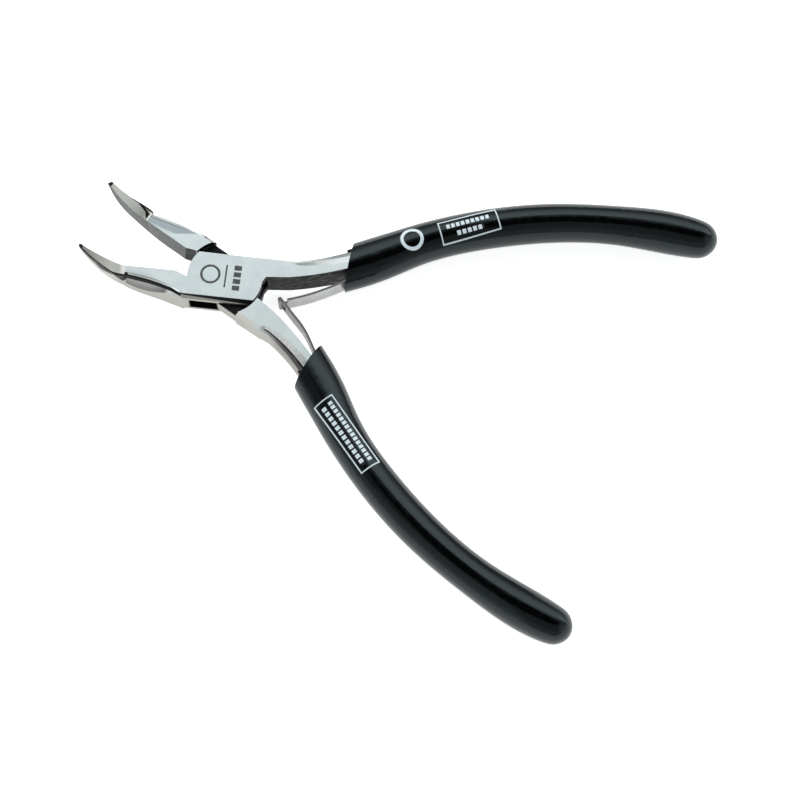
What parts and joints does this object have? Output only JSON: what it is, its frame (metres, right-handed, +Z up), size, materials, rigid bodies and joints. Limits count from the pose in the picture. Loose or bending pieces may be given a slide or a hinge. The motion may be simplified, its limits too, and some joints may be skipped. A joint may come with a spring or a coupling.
{
  "type": "needle nose pliers",
  "caption": "Small needle nose pliers with a box joint, slim bent-up jaw tips, two hooked leaf springs that open the handles, and slim dipped grips.",
  "frame": {"origin": "on the pivot axis, where it meets the flat underside of the head", "axes": "+X from the pivot towards the handles, along the line halfway between them; +Z up along the pivot axis, the way the bent tips point; +Y to the left of +X"},
  "size_m": [0.1107, 0.0881, 0.0154],
  "materials": {
    "polished_steel": "fine ground and satin polished",
    "spring_steel": "satin spring strip",
    "grip_plastic": "glossy dipped coating with white printed frames"
  },
  "bodies": {
    "outer_body": {"outer_half": "polished_steel", "pivot_rivet": "polished_steel", "outer_leaf_spring": "spring_steel", "outer_spring_rivet": "spring_steel", "outer_grip": "grip_plastic"},
    "inner_body": {"inner_half": "polished_steel", "inner_leaf_spring": "spring_steel", "inner_spring_rivet": "spring_steel", "inner_grip": "grip_plastic"}
  },
  "joints": [
    {"name": "pivot", "type": "hinge", "parent": "outer_body", "child": "inner_body", "pos_m": [0, 0, 0], "axis": [0, 0, 1], "range_deg": [-4, 28], "stiffness_Nm_per_rad": 0.2, "deforming": ["outer_leaf_spring", "inner_leaf_spring"]}
  ]
}
